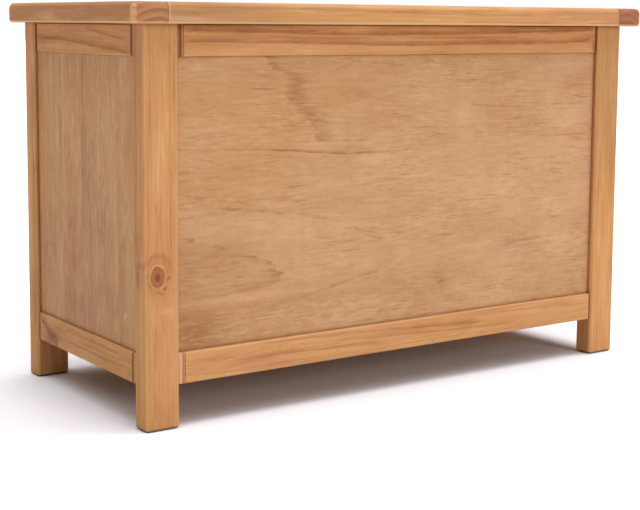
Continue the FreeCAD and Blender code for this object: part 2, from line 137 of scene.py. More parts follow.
class Pattern(NamedTuple):
    """A noise pattern. along and across are spots per metre, layer tells patterns of one size apart.

    seeded is how a piece's seed shifts it, span the soft passage in which the noise counts and
    strength how far it shows.
    """

    along: float
    across: float
    layer: float = 0.0
    detail: float = 2.0
    roughness: float = 0.5
    seeded: float = 0.0
    span: tuple = (0.0, 1.0)
    strength: float = 1.0


class Field:
    """A number that varies over a surface: one output of a shader node, with plain arithmetic."""

    def __init__(self, graph, socket):
        self.graph = graph
        self.socket = socket

    def math(self, operation, *others):
        return self.graph.math(operation, self, *others)

    def __add__(self, other):
        return self.math("ADD", other)

    def __radd__(self, other):
        return self.math("ADD", other)

    def __sub__(self, other):
        return self.math("SUBTRACT", other)

    def __rsub__(self, other):
        return self.graph.math("SUBTRACT", other, self)

    def __mul__(self, other):
        return self.math("MULTIPLY", other)

    def __truediv__(self, other):
        return self.math("DIVIDE", other)

    def __abs__(self):
        return self.math("ABSOLUTE")

    def fraction(self):
        return self.math("FRACT")

    def floor(self):
        return self.math("FLOOR")

    def smooth(self, low, high):
        """0 below low, 1 above high, with a soft passage between."""
        return self.graph.smooth(self, low, high)

    def bell(self):
        """1 at zero, falling away on both sides."""
        return self.graph.math("EXPONENT", self * self * -1.0)

    def wander(self):
        """Noise from 0 to 1 spread to about -1 to 1."""
        return self * WANDER_GAIN - WANDER_GAIN / 2


class Graph:
    """The nodes of one material or world. A value is a number, a colour or another node's output."""

    def __init__(self, owner):
        owner.use_nodes = True
        self.owner = owner
        self.tree = owner.node_tree
        self.tree.nodes.clear()

    def node(self, kind, inputs, **settings):
        made = self.tree.nodes.new(kind)
        for key, value in settings.items():
            setattr(made, key, value)
        for key, value in inputs.items():
            value = value.socket if isinstance(value, Field) else value
            if isinstance(value, bpy.types.NodeSocket):
                self.tree.links.new(value, made.inputs[key])
            else:
                made.inputs[key].default_value = value
        return made

    def field(self, made, output=0):
        return Field(self, made.outputs[output])

    def math(self, operation, *values):
        return self.field(self.node("ShaderNodeMath", dict(enumerate(values)), operation=operation))

    def smooth(self, value, low, high):
        inputs = {"Value": value, "From Min": low, "From Max": high}
        return self.field(self.node("ShaderNodeMapRange", inputs, interpolation_type="SMOOTHSTEP"))

    def length(self, a, b):
        return (a * a + b * b).math("SQRT")

    def split(self, output):
        """The three parts of one output of the texture coordinates."""
        coords = self.node("ShaderNodeTexCoord", {})
        parts = self.node("ShaderNodeSeparateXYZ", {0: coords.outputs[output]})
        return [self.field(parts, i) for i in range(3)]

    def place(self):
        """X, Y and Z in the part's own frame, which move with the piece."""
        return self.split("Object")

    def facing(self, axis):
        """How squarely a surface faces along one axis of the part, 0 to 1."""
        return abs(self.split("Normal")[axis])

    def edge(self):
        """1 on the rounded edges of a squared piece, 0 on its faces."""
        parts = [abs(part) for part in self.split("Normal")]
        squarest = parts[0].math("MAXIMUM", parts[1]).math("MAXIMUM", parts[2])
        return 1.0 - squarest.smooth(*FACE_SPAN)

    def hem_highlight(self):
        """1 on the rounded edges that face down, where a highlight is painted."""
        return self.edge() * (self.split("Normal")[2] * -1.0).smooth(*HEM_SPAN)

    def corner_highlight(self):
        """1 on the rounded upright corners, where a highlight is painted."""
        parts = self.split("Normal")
        return abs(parts[0] * parts[1]).smooth(*CORNER_SPAN)

    def noise(self, x, y, z, detail=2.0, roughness=0.5):
        """Soft noise from 0 to 1; one unit of each coordinate is about one spot."""
        vector = self.node("ShaderNodeCombineXYZ", {0: x, 1: y, 2: z})
        inputs = {"Vector": vector.outputs[0], "Scale": 1.0, "Detail": detail, "Roughness": roughness}
        return self.field(self.node("ShaderNodeTexNoise", inputs))

    def flat(self, pattern, along, across, seed=0.0):
        """A pattern on a face, from 0 to 1."""
        run = along * pattern.along + seed * pattern.seeded
        return self.noise(run, across * pattern.across, pattern.layer, pattern.detail, pattern.roughness)

    def flat_mask(self, pattern, along, across, seed=0.0):
        """Where a pattern on a face counts, from 0 to 1."""
        return self.flat(pattern, along, across, seed).smooth(*pattern.span)

    def flat_breaks(self, pattern, along, across, seed=0.0):
        """1 where a pattern on a face counts, less by its strength elsewhere."""
        return self.flat_mask(pattern, along, across, seed) * pattern.strength + (1.0 - pattern.strength)

    def solid(self, pattern, along, side, depth, seed=0.0):
        """A pattern all through a piece, from 0 to 1."""
        run = along * pattern.along + seed * pattern.seeded
        side = side * pattern.across + pattern.layer
        return self.noise(run, side, depth * pattern.across, pattern.detail, pattern.roughness)

    def solid_mask(self, pattern, along, side, depth, seed=0.0):
        """Where a pattern all through a piece counts, from 0 to 1."""
        return self.solid(pattern, along, side, depth, seed).smooth(*pattern.span)

    def chance(self, value):
        """A random number from 0 to 1 for each whole number."""
        return self.field(self.node("ShaderNodeTexWhiteNoise", {"W": value}, noise_dimensions="1D"))

    def curve(self, value, points):
        """A smooth line through given (value, result) points."""
        points = sorted(points)
        low, high = points[0][0], points[-1][0]
        results = [result for _, result in points]
        bottom = min(results)
        span = max(max(results) - bottom, CURVE_LEAST_SPAN)
        made = self.node("ShaderNodeFloatCurve", {"Value": (value - low) / (high - low)})
        line = made.mapping.curves[0].points
        while len(line) < len(points):
            line.new(0.5, 0.5)
        for handle, (where, result) in zip(line, points):
            handle.location = ((where - low) / (high - low), (result - bottom) / span)
        made.mapping.update()
        return self.field(made) * span + bottom

    def ramp(self, value, stops):
        """Colours along a value, as (value, colour) pairs."""
        made = self.node("ShaderNodeValToRGB", {0: value})
        steps = made.color_ramp.elements
        while len(steps) < len(stops):
            steps.new(0.5)
        for step, (where, colour) in zip(steps, stops):
            step.position = where
            step.color = colour
        return made.outputs[0]

    def mix(self, factor, first, second, blend="MIX"):
        inputs = {0: factor, 6: first, 7: second}
        return self.node("ShaderNodeMix", inputs, data_type="RGBA", blend_type=blend).outputs[2]

    def shade(self, colour, factor):
        """A colour made lighter or darker by a factor."""
        grey = self.node("ShaderNodeCombineColor", {0: factor, 1: factor, 2: factor})
        return self.mix(1.0, colour, grey.outputs[0], "MULTIPLY")

    def weave(self, colour, field, amount, dark, light):
        """A colour drawn towards a darker and a lighter tone by a field that wanders about zero."""
        colour = self.mix(field.smooth(0.0, WEAVE_REACH) * amount, colour, dark)
        return self.mix((field * -1.0).smooth(0.0, WEAVE_REACH) * amount, colour, light)

    def crevice(self, distance):
        """1 in the open, falling towards 0 in corners and joints narrower than a distance."""
        made = self.node("ShaderNodeAmbientOcclusion", {"Distance": distance}, samples=CREVICE_SAMPLES)
        return self.field(made, "AO")

    def finish(self, colour, roughness, height, specular=WOOD_SPECULAR, metallic=0.0):
        """Joins colour, gloss and relief in one surface and returns the material."""
        bump = self.node("ShaderNodeBump", {"Strength": 1.0, "Distance": 1.0, "Height": height})
        inputs = {
            "Base Color": colour,
            "Roughness": roughness,
            "Metallic": metallic,
            "Specular IOR Level": specular,
            "Normal": bump.outputs[0],
        }
        surface = self.node("ShaderNodeBsdfPrincipled", inputs)
        self.node("ShaderNodeOutputMaterial", {"Surface": surface.outputs[0]})
        return self.owner


# Veins: how ragged they are, how sharp on one side, how far they fade on the other, how broken along
VEIN_RAGGED = Pattern(32.0, 300.0, layer=5.0, detail=3.0, roughness=0.6)
VEIN_RAGGED_LEAST = 0.1
VEIN_RAGGED_MORE = 0.4
VEIN_SHARP = 0.35
VEIN_TAIL = 1.7
VEIN_FADE = 0.03
VEIN_GAPS = Pattern(34.0, 70.0, layer=6.0, span=(0.40, 0.60))
TIMBER_VEIN_BROKEN = 0.25
VENEER_VEIN_BROKEN = 0.6


def vein_mark(graph, along, across, vein, broken):
    """A late-wood line through given points: sharp on one side, fading on the other.

    broken is the share of its strength that comes and goes along the line.
    """
    ends = sorted(point[0] for point in vein["points"])
    fade = vein.get("fade", VEIN_FADE)
    line = graph.curve(along, vein["points"])
    swing = VEIN_RAGGED_LEAST + broken * VEIN_RAGGED_MORE
    ragged = graph.flat(VEIN_RAGGED, along, across).wander() * swing
    offset = (across - line) * (vein.get("soft", 1) / vein["width"]) + ragged
    mark = offset.smooth(-VEIN_SHARP, 0.0) * (1.0 - offset.smooth(0.0, VEIN_TAIL))
    mark = mark * along.smooth(ends[0], ends[0] + fade) * (1.0 - along.smooth(ends[-1] - fade, ends[-1]))
    gaps = 1.0 - graph.flat_mask(VEIN_GAPS, along, across)
    return mark * (1.0 - gaps * broken) * vein["strength"]


SPOT_TORN = 0.5


def paint_spot(graph, colour, along, across, grain, spot):
    """A soft patch of another tone, torn along the grain."""
    run = (along - spot["at"][0]) / spot["half"][0]
    rise = (across - spot["at"][1]) / spot["half"][1] - run * spot.get("tilt", 0.0)
    torn = spot.get("torn", SPOT_TORN)
    cover = graph.length(run, rise).bell() * (1.0 - torn + grain * torn)
    return graph.mix(cover * spot["strength"], colour, spot["tone"])


# Knots: distances are shares of the knot, 1 at its rim
KNOT_RAGGED = Pattern(90.0, 90.0, detail=3.0, strength=0.13)
KNOT_BROKEN = Pattern(200.0, 200.0, layer=3.0, span=(0.38, 0.6))
KNOT_FLOW_REACH = 2.0
KNOT_FLOW_SHARE = 0.8
KNOT_ABOVE_SPAN = (0.2, 1.2)
KNOT_BESIDE_SPAN = (-0.4, 0.8)
KNOT_FOOT_LEAST = 0.2
KNOT_RINGS = {
    "halo": dict(at=0.0, half=1.7, strength=0.4, tone=AMBER),
    "glint": dict(at=1.1, half=0.09, strength=0.75, tone=STRAW),
    "pale": dict(at=1.25, half=0.14, strength=0.3, tone=STRAW),
    "arc": dict(at=1.45, half=0.16, strength=0.3, tone=KNOT_RIM),
    "brow": dict(at=1.95, half=0.26, strength=0.6, tone=AMBER),
    "foot": dict(at=1.6, half=0.2, strength=0.5, tone=KNOT_RIM),
}
KNOT_EYE = [(0.0, KNOT_CORE), (0.22, KNOT_CORE), (0.45, KNOT_WOOD), (0.8, KNOT_WOOD), (0.97, KNOT_RIM)]
KNOT_EYE_RINGS = 4.0
KNOT_EYE_RAGGED = 0.5
KNOT_EYE_RING_SPAN = (0.3, 1.0)
KNOT_EYE_LIGHT = 1.12
KNOT_EYE_DEPTH = 0.2
KNOT_EYE_EDGE = (0.86, 1.08)


def knot_distance(graph, along, across, knot):
    """Distance from a knot's middle, 1 at its rim."""
    run = (along - knot["at"][0]) / knot["half"][0]
    rise = (across - knot["at"][1]) / knot["half"][1]
    ragged = graph.flat(KNOT_RAGGED, along, across).wander() * KNOT_RAGGED.strength
    return graph.length(run, rise) + ragged


def knot_flow(graph, along, across, knot):
    """The place across the grain, bent so that the grain runs round a knot."""
    reach = knot_distance(graph, along, across, knot) / KNOT_FLOW_REACH
    return (across - knot["at"][1]) * (1.0 - reach.bell() * KNOT_FLOW_SHARE) + knot["at"][1]


def paint_knot(graph, colour, along, across, knot):
    """The knot itself: a red core in brown wood with a thin rim, in a brown halo of broken arcs."""
    reach = knot_distance(graph, along, across, knot)
    broken = graph.flat_mask(KNOT_BROKEN, along, across)
    above = ((along - knot["at"][0]) / knot["half"][0]).smooth(*KNOT_ABOVE_SPAN)
    beside = ((across - knot["at"][1]) / knot["half"][1]).smooth(*KNOT_BESIDE_SPAN)
    foot = (1.0 - above) * (beside * (1.0 - KNOT_FOOT_LEAST) + KNOT_FOOT_LEAST) * broken
    where = dict(halo=1.0, arc=broken, brow=above, foot=foot)
    where.update(glint=above * (1.0 - beside), pale=beside * broken)
    for name, ring in KNOT_RINGS.items():
        cover = ((reach - ring["at"]) / ring["half"]).bell() * where[name] * ring["strength"]
        colour = graph.mix(cover, colour, ring["tone"])
    eye = graph.ramp(reach, KNOT_EYE)
    rings = (reach * KNOT_EYE_RINGS + broken * KNOT_EYE_RAGGED).fraction().smooth(*KNOT_EYE_RING_SPAN)
    eye = graph.shade(eye, KNOT_EYE_LIGHT - rings * KNOT_EYE_DEPTH)
    return graph.mix(1.0 - reach.smooth(*KNOT_EYE_EDGE), colour, eye)


# Painted shade in corners and joints, with stain built up there: how dark the narrowest get
SHADE_AND_DIRT_DARKEST = 0.5


def shade_and_soil(graph, colour, reach, span):
    """A colour darkened in corners and joints narrower than a reach: painted shade, with stain built up
    there.
    """
    unshaded_and_clean = graph.crevice(reach).smooth(*span)
    return graph.shade(colour, SHADE_AND_DIRT_DARKEST + unshaded_and_clean * (1.0 - SHADE_AND_DIRT_DARKEST))


# Solid pine: its growth rings
SWAY = Pattern(2.2, 9.0, seeded=1.0, strength=0.007)
SWAY_DEEP = Pattern(2.7, 11.0, layer=3.0, seeded=-1.0, strength=0.007)
RING_RAGGED = Pattern(30.0, 260.0, strength=0.06)
RING_PACE = 0.35
RING_UNEVEN = 0.6
LATE_SPAN = (0.2, 0.9)
LATE_END = (0.9, 1.0)
LATE_LEAST = 0.15
LATE_MORE = 0.95
END_LATE_LEAST = 0.45
END_LATE_MORE = 0.55

# Solid pine: finer figure, streaks of painted highlight on corners, seams, painted shade and dirt in joints
STREAK = Pattern(15.0, 270.0, detail=4.0, roughness=0.65, seeded=1.0, strength=0.42)
THREAD = Pattern(5.0, 330.0, seeded=-1.0, span=(0.54, 0.68), strength=0.3)
PORE = Pattern(52.0, 420.0, detail=1.0, seeded=1.0, span=(0.64, 0.74), strength=0.24)
BAND = Pattern(3.0, 34.0, seeded=1.0, span=(0.38, 0.62))
CLOUD = Pattern(8.0, 40.0, detail=3.0, roughness=0.6, seeded=-1.0, strength=0.62)
END_STREAK = 0.08
CUT_SPAN = (0.45, 0.75)
TORN_SPAN = (-0.7, 0.7)
CORNER_LEAST = 0.4
SEAM_HALF = 0.0016
TIMBER_SHADE_AND_DIRT_REACH = 0.006
TIMBER_SHADE_AND_DIRT_SPAN = (0.3, 0.95)


def growth_rings(graph, along, side, depth, seed, pith, ring, lean):
    """Late wood of the rings round a pith, from 0 to 1, and a random weight for each ring."""
    sway = graph.solid(SWAY, along, side, depth, seed).wander() * SWAY.strength
    sway_deep = graph.solid(SWAY_DEEP, along, side, depth, seed).wander() * SWAY_DEEP.strength
    ring_side = side - pith[0] - along * lean[0] + sway
    ring_depth = depth - pith[1] - along * lean[1] + sway_deep
    radius = graph.length(ring_side, ring_depth) / ring
    radius = radius + graph.noise(radius * RING_PACE, seed, 0.0).wander() * RING_UNEVEN
    radius = radius + graph.solid(RING_RAGGED, along, side, depth).wander() * RING_RAGGED.strength
    phase = radius.fraction()
    late = phase.smooth(*LATE_SPAN) * (1.0 - phase.smooth(*LATE_END))
    return late, graph.chance(radius.floor() + seed)


def timber(node, grain, pith, ring, lean, seed, knots=(), veins=(), spots=(), figure=0.3, wear_and_sheen=0.25,
           hem_highlight=0.0, corner_highlight=0.0, run=None, joints=(), seam=0.9, tones=(HONEY, BLUSH),
           ends=(END_GRAIN, END_RING)):
    """Solid pine: growth rings round a pith beside the piece, cut by every face alike.

    pith is its offset from the middle of the piece across the grain, lean how far it moves per metre.
    Knots, veins and spots are listed marks on the face whose upright or cross axis they name.
    The edge wear amount pales the rounded edges, partly as wear and partly as a painted highlight; the hem
    and corner amounts paint highlights on the lower edges and the upright corners. run gives lighter and
    darker stretches along the grain, joints the places along it where a dark seam lies and seam how dark
    that is.
    """
    graph = Graph(bpy.data.materials.new("pine_" + node))
    low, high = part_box(node)
    middle = (low + high) / 2
    place = graph.place()
    way = AXIS[grain]
    side_way, depth_way = [axis for axis in range(3) if axis != way]
    bent = list(place)
    for knot in knots:
        across = AXIS[knot["across"]]
        bent[across] = knot_flow(graph, place[way], bent[across], knot)
    along = place[way] - middle[way]
    side = bent[side_way] - middle[side_way]
    depth = bent[depth_way] - middle[depth_way]
    spread = (along, side, depth, seed)
    late, weight = growth_rings(graph, *spread, pith, ring, lean)
    streak = graph.solid(STREAK, *spread).wander()
    torn = streak.smooth(*TORN_SPAN)
    cut = graph.facing(way).smooth(*CUT_SPAN)
    uncut = 1.0 - cut
    colour = graph.mix(graph.solid_mask(BAND, *spread), *tones)
    colour = graph.weave(colour, graph.solid(CLOUD, *spread).wander(), CLOUD.strength, AMBER, STRAW)
    colour = graph.mix(late * (LATE_LEAST + weight * weight * LATE_MORE) * figure, colour, AMBER)
    colour = graph.mix(graph.solid_mask(THREAD, *spread) * THREAD.strength, colour, AMBER)
    for vein in veins:
        mark = vein_mark(graph, place[way], place[AXIS[vein["across"]]], vein, TIMBER_VEIN_BROKEN)
        colour = graph.mix(mark, colour, VEIN)
    colour = graph.mix(cut, colour, graph.mix(late * (END_LATE_LEAST + weight * END_LATE_MORE), *ends))
    for spot in spots:
        colour = paint_spot(graph, colour, place[way], place[AXIS[spot["across"]]], torn, spot)
    colour = graph.weave(colour, streak, uncut * STREAK.strength + END_STREAK, AMBER, STRAW)
    colour = graph.mix(graph.solid_mask(PORE, *spread) * uncut * PORE.strength, colour, VEIN)
    for knot in knots:
        colour = paint_knot(graph, colour, place[way], place[AXIS[knot["across"]]], knot)
    if run:
        colour = graph.shade(colour, graph.curve(place[way], run))
    # Rounded edges paled: partly wear, partly a painted highlight
    colour = graph.mix(graph.edge() * uncut * wear_and_sheen, colour, WEAR_AND_HIGHLIGHT)
    # Lower rounded edges: a painted highlight, as of light thrown up by the floor
    if hem_highlight:
        colour = graph.mix(graph.hem_highlight() * hem_highlight, colour, WEAR_AND_HIGHLIGHT)
    # Rounded upright corners: a painted highlight, streaked along the grain
    if corner_highlight:
        highlight_streaks = torn * (1.0 - CORNER_LEAST) + CORNER_LEAST
        colour = graph.mix(graph.corner_highlight() * highlight_streaks * corner_highlight, colour, WEAR_AND_HIGHLIGHT)
    for joint in joints:
        colour = graph.mix(((place[way] - joint) / SEAM_HALF).bell() * seam, colour, SEAM)
    # Corners and joints darkened: painted shade, with stain built up there
    colour = shade_and_soil(graph, colour, TIMBER_SHADE_AND_DIRT_REACH, TIMBER_SHADE_AND_DIRT_SPAN)
    return graph.finish(colour, WOOD_ROUGHNESS + streak * ROUGHNESS_SWING, (streak - late) * RELIEF)


# Rotary-cut plywood: contours, cathedral tongues and scars
SAW = Pattern(14.0, 160.0, layer=3.0, detail=4.0, roughness=0.65, seeded=-1.0, strength=0.013)
SWELL = Pattern(2.4, 8.0, layer=1.0, detail=3.0, seeded=1.0)
CONTOUR_SWELL = 2.0
CONTOUR_RISE = 5.0
CONTOUR_SPAN = (0.35, 0.95)
CONTOUR_END = (0.95, 1.0)
CONTOUR_LEAST = 0.1
CONTOUR_MORE = 0.5
CONTOUR_STRENGTH = 0.3
TONGUE_BREAKS = Pattern(24.0, 90.0, layer=4.0, span=(0.42, 0.60), strength=0.9)
TONGUE_FRONT = (-0.002, 0.003)
TONGUE_FILL_SPAN = (0.0, 0.02)
TONGUE_UPPER_SPAN = (-0.012, 0.004)
TONGUE_LOWER = 0.55
SCAR_BREAKS = Pattern(36.0, 80.0, layer=21.0, span=(0.42, 0.58), strength=0.55)
SCAR_FRONT = (-0.002, 0.002)
SCAR_CORE = 0.2
SCAR_FOOT = (-0.003, 0.004)

# Rotary-cut plywood: finer figure, and painted shade and dirt in corners and joints
FRAY = Pattern(20.0, 230.0, detail=4.0, roughness=0.7, seeded=1.0, strength=0.2)
RIPPLE = Pattern(46.0, 240.0, layer=2.0, detail=3.0, roughness=0.6, seeded=-1.0, strength=0.36)
LIVELY = Pattern(8.0, 16.0, layer=6.0, seeded=-1.0, span=(0.42, 0.60), strength=0.7)
PATCH = Pattern(6.0, 20.0, layer=7.0, detail=3.0, seeded=1.0, span=(0.35, 0.65))
MIST = Pattern(11.0, 34.0, layer=3.0, detail=3.0, roughness=0.6, seeded=-1.0, strength=0.3)
HUE = Pattern(15.0, 24.0, layer=11.0, detail=3.0, roughness=0.6, seeded=-1.0, strength=0.4)
CHATTER = Pattern(26.0, 3.0, layer=4.0, seeded=1.0, strength=0.12)
MOTTLE = Pattern(62.0, 120.0, layer=12.0, detail=4.0, roughness=0.7, seeded=1.0, strength=0.34)
STRIPE = Pattern(1.6, 62.0, layer=9.0, detail=4.0, roughness=0.65, seeded=1.0)
HAIR = Pattern(26.0, 430.0, layer=5.0, seeded=1.0, span=(0.58, 0.70), strength=0.45)
FLECK = Pattern(58.0, 380.0, layer=8.0, seeded=-1.0, span=(0.58, 0.70), strength=0.24)
VENEER_SHADE_AND_DIRT_REACH = 0.007
VENEER_SHADE_AND_DIRT_SPAN = (0.25, 0.95)


def contour_marks(graph, torn_run, rise, seed):
    """Late wood along the wandering contours of a rotary-cut veneer."""
    contour = graph.flat(SWELL, torn_run, rise, seed).wander() * CONTOUR_SWELL + rise * CONTOUR_RISE
    phase = contour.fraction()
    weight = graph.chance(contour.floor() + seed)
    late = phase.smooth(*CONTOUR_SPAN) * (1.0 - phase.smooth(*CONTOUR_END))
    return late * (CONTOUR_LEAST + weight * CONTOUR_MORE)


def tongue_marks(graph, torn_run, rise, tongue):
    """A cathedral tongue of a rotary-cut veneer: how dark its frayed edge is, and what lies inside."""
    tip_run, tip_rise = tongue["tip"]
    axis = tip_rise + (torn_run - tip_run) * tongue["slope"]
    offset = rise - axis
    inside = tip_run - torn_run - offset * offset * tongue["curl"]
    edge = inside.smooth(*TONGUE_FRONT) * (1.0 - inside.smooth(TONGUE_FRONT[1], tongue["fade"]))
    breaks = graph.flat_breaks(TONGUE_BREAKS, torn_run, rise)
    upper = TONGUE_LOWER + offset.smooth(*TONGUE_UPPER_SPAN) * (1.0 - TONGUE_LOWER)
    return edge * breaks * upper * tongue["edge"], inside.smooth(*TONGUE_FILL_SPAN) * tongue["fill"]


def scar_mark(graph, torn_run, rise, scar):
    """A dark flaw that crosses the grain: a ragged sharp side, fading along the grain on the other."""
    bottom = min(point[0] for point in scar["points"])
    offset = torn_run - graph.curve(rise, scar["points"])
    mark = offset.smooth(*SCAR_FRONT) * (1.0 - offset.smooth(scar["width"] * SCAR_CORE, scar["width"]))
    start = rise.smooth(*(bottom + step for step in SCAR_FOOT))
    return mark * graph.flat_breaks(SCAR_BREAKS, torn_run, rise) * start * scar["strength"]


def veneer(node, grain, across, seed, tongues=(), scars=(), veins=(), spots=(), contrast=1.0, bands=0.0,
           tones=(TAN, TAN_DEEP)):
    """Plywood with a rotary-cut face: wandering saw-toothed contours, short ripples and hair lines.

    bands is the strength of long stripes along the grain, contrast that of all the finer figure.
    """
    graph = Graph(bpy.data.materials.new("veneer_" + node))
    place = graph.place()
    run = place[AXIS[grain]]
    rise = place[AXIS[across]]
    fray = graph.flat(FRAY, run, rise, seed).wander()
    ripple = graph.flat(RIPPLE, run, rise, seed).wander()
    lively = graph.flat_breaks(LIVELY, run, rise, seed)
    torn_run = run + graph.flat(SAW, run, rise, seed).wander() * SAW.strength
    late = contour_marks(graph, torn_run, rise, seed) * (CONTOUR_STRENGTH * contrast)
    fill = 0.0
    for tongue in tongues:
        edge, inside = tongue_marks(graph, torn_run, rise, tongue)
        late = late + edge
        fill = inside + fill
    for scar in scars:
        late = late + scar_mark(graph, torn_run, rise, scar)
    for vein in veins:
        late = late + vein_mark(graph, run, rise, vein, VENEER_VEIN_BROKEN)
    colour = graph.mix(graph.flat_mask(PATCH, torn_run, rise, seed), *tones)
    layers = [
        (MIST, torn_run, BROWN, PALE),
        (HUE, run, OLIVE, PINK),
        (CHATTER, run, BROWN, PALE),
        (MOTTLE, run, BROWN, PALE),
    ]
    for pattern, course, dark, light in layers:
        field = graph.flat(pattern, course, rise, seed).wander()
        colour = graph.weave(colour, field, pattern.strength * contrast, dark, light)
    if bands:
        colour = graph.weave(colour, graph.flat(STRIPE, run, rise, seed).wander(), bands, BROWN, PALE)
    torn = fray.smooth(*TORN_SPAN)
    for spot in spots:
        colour = paint_spot(graph, colour, torn_run, rise, torn, spot)
    if tongues:
        colour = graph.mix(fill, colour, BROWN)
    colour = graph.mix(late.math("MINIMUM", 1.0), colour, BROWN)
    colour = graph.weave(colour, fray, FRAY.strength * contrast, BROWN, PALE)
    colour = graph.weave(colour, ripple, lively * (RIPPLE.strength * contrast), BROWN, PALE)
    for pattern, tone in ((HAIR, BROWN), (FLECK, PALE)):
        mark = graph.flat_mask(pattern, run, rise, seed) * lively
        colour = graph.mix(mark * (pattern.strength * contrast), colour, tone)
    # Corners and joints darkened: painted shade, with stain built up there
    colour = shade_and_soil(graph, colour, VENEER_SHADE_AND_DIRT_REACH, VENEER_SHADE_AND_DIRT_SPAN)
    return graph.finish(colour, WOOD_ROUGHNESS + fray * ROUGHNESS_SWING, (fray + ripple) * RELIEF)


# Plated metal
BRUSH = Pattern(300.0, 4000.0, detail=3.0, strength=0.000004)
DULL = Pattern(60.0, 60.0)
DULL_DARKEST = 0.9
DULL_SWING = 0.2
DULL_ROUGHNESS = 0.12
STEEL_ROUGHNESS = 0.35
BRASS_ROUGHNESS = 0.32


def metal(node, colour, roughness):
    """Plated metal with fine brushing and a little dulling."""
    graph = Graph(bpy.data.materials.new("metal_" + node))
    place = graph.place()
    brush = graph.solid(BRUSH, *place).wander()
    dull = graph.solid(DULL, *place)
    shaded = graph.shade(colour, DULL_DARKEST + dull * DULL_SWING)
    gloss = roughness + dull * DULL_ROUGHNESS + brush * ROUGHNESS_SWING
    return graph.finish(shaded, gloss, brush * BRUSH.strength, METAL_SPECULAR, metallic=1.0)


# Marks of the front panel: places are (x, z), scars (z, x)
FRONT_TONGUES = [
    dict(tip=(-0.184, 0.162), slope=-0.13, curl=96.0, edge=0.7, fade=0.034, fill=0.10),
    dict(tip=(-0.008, 0.174), slope=-0.057, curl=56.0, edge=0.34, fade=0.03, fill=0.04),
]
FRONT_SCARS = [
    dict(
        points=[(0.318, -0.137), (0.333, -0.141), (0.349, -0.152), (0.362, -0.168), (0.376, -0.177),
                (0.390, -0.174), (0.397, -0.180), (0.405, -0.195), (0.418, -0.206)],
        width=0.034,
        strength=0.66,
    ),
]
FRONT_VEINS = [
    dict(points=[(-0.275, 0.3125), (-0.216, 0.3105), (-0.169, 0.3072), (-0.13, 0.3035), (-0.08, 0.3005),
                 (-0.01, 0.3)], width=0.0026, strength=0.95),
    dict(points=[(-0.325, 0.309), (-0.30, 0.3045), (-0.26, 0.296)], width=0.002, strength=0.5),
    dict(points=[(-0.23, 0.382), (-0.19, 0.380)], width=0.0016, strength=0.7, fade=0.008),
    dict(points=[(-0.26, 0.292), (-0.19, 0.283)], width=0.003, strength=0.4, fade=0.015),
    dict(width=0.003, strength=0.65,
         points=[(-0.285, 0.249), (-0.243, 0.242), (-0.216, 0.239), (-0.17, 0.230)]),
    dict(points=[(-0.145, 0.3205), (-0.098, 0.316), (-0.05, 0.3165)], width=0.002, strength=0.5, fade=0.02),
    dict(points=[(0.10, 0.355), (0.14, 0.352), (0.185, 0.350)], width=0.002, strength=0.5, fade=0.015),
    dict(points=[(0.21, 0.312), (0.26, 0.309), (0.33, 0.309)], width=0.0025, strength=0.45),
    dict(width=0.0025, strength=0.4,
         points=[(-0.245, 0.118), (-0.162, 0.129), (-0.086, 0.144), (-0.025, 0.155)]),
    dict(points=[(-0.08, 0.211), (-0.059, 0.198), (-0.030, 0.191)], width=0.0022, strength=0.6, fade=0.01),
    dict(points=[(-0.115, 0.401), (-0.080, 0.408)], width=0.003, strength=0.5, fade=0.01),
]
FRONT_SPOTS = [
    dict(at=(-0.24, 0.35), half=(0.12, 0.10), tone=ORANGE, strength=0.45, torn=0.2),
    dict(at=(-0.05, 0.38), half=(0.16, 0.06), tone=ORANGE, strength=0.35, torn=0.2),
    dict(at=(0.15, 0.25), half=(0.20, 0.08), tone=SAND, strength=0.45, torn=0.2),
    dict(at=(0.02, 0.20), half=(0.12, 0.12), tone=OLIVE, strength=0.3, torn=0.2),
    dict(at=(0.31, 0.33), half=(0.04, 0.12), tone=PINK, strength=0.5, torn=0.2),
    dict(at=(0.20, 0.34), half=(0.10, 0.05), tone=ORANGE, strength=0.4, torn=0.6),
    dict(at=(0.17, 0.14), half=(0.05, 0.02), tone=PALE, strength=0.35),
    dict(at=(-0.10, 0.185), half=(0.07, 0.03), tone=SAND, strength=0.5, torn=0.3),
    dict(at=(-0.298, 0.107), half=(0.042, 0.025), tone=BROWN, strength=1.0, torn=0.3),
    # Partly figure, partly painted shade on the panel beside the near leg
    dict(at=(-0.312, 0.18), half=(0.026, 0.05), tone=BROWN, strength=0.45, torn=0.3),
    dict(at=(0.19, 0.168), half=(0.045, 0.015), tone=BROWN, strength=0.55, torn=0.9),
    dict(at=(0.06, 0.138), half=(0.02, 0.014), tone=BROWN, strength=0.5, torn=0.9),
    dict(at=(0.062, 0.1295), half=(0.008, 0.004), tone=UMBER, strength=0.6, torn=0.5),
    dict(at=(0.165, 0.392), half=(0.026, 0.010), tone=BROWN, strength=0.5, torn=0.8),
    dict(at=(0.20, 0.325), half=(0.05, 0.016), tone=BROWN, strength=0.45, torn=0.9),
    dict(at=(0.285, 0.378), half=(0.03, 0.010), tone=BROWN, strength=0.45, torn=0.7),
    dict(at=(-0.068, 0.371), half=(0.02, 0.006), tone=BROWN, strength=0.4, torn=0.8),
    dict(at=(-0.023, 0.408), half=(0.006, 0.003), tone=BROWN, strength=0.6, torn=0.4),
    dict(at=(0.045, 0.314), half=(0.035, 0.014), tone=BROWN, strength=0.25, torn=0.7),
    dict(at=(0.095, 0.345), half=(0.014, 0.012), tone=PALE, strength=0.55, torn=0.7),
    dict(at=(0.275, 0.335), half=(0.035, 0.018), tone=PALE, strength=0.45, torn=0.4),
    dict(at=(-0.05, 0.292), half=(0.025, 0.006), tone=PALE, strength=0.45),
    dict(at=(-0.22, 0.139), half=(0.10, 0.004), tone=PALE, strength=0.45, torn=0.4),
]

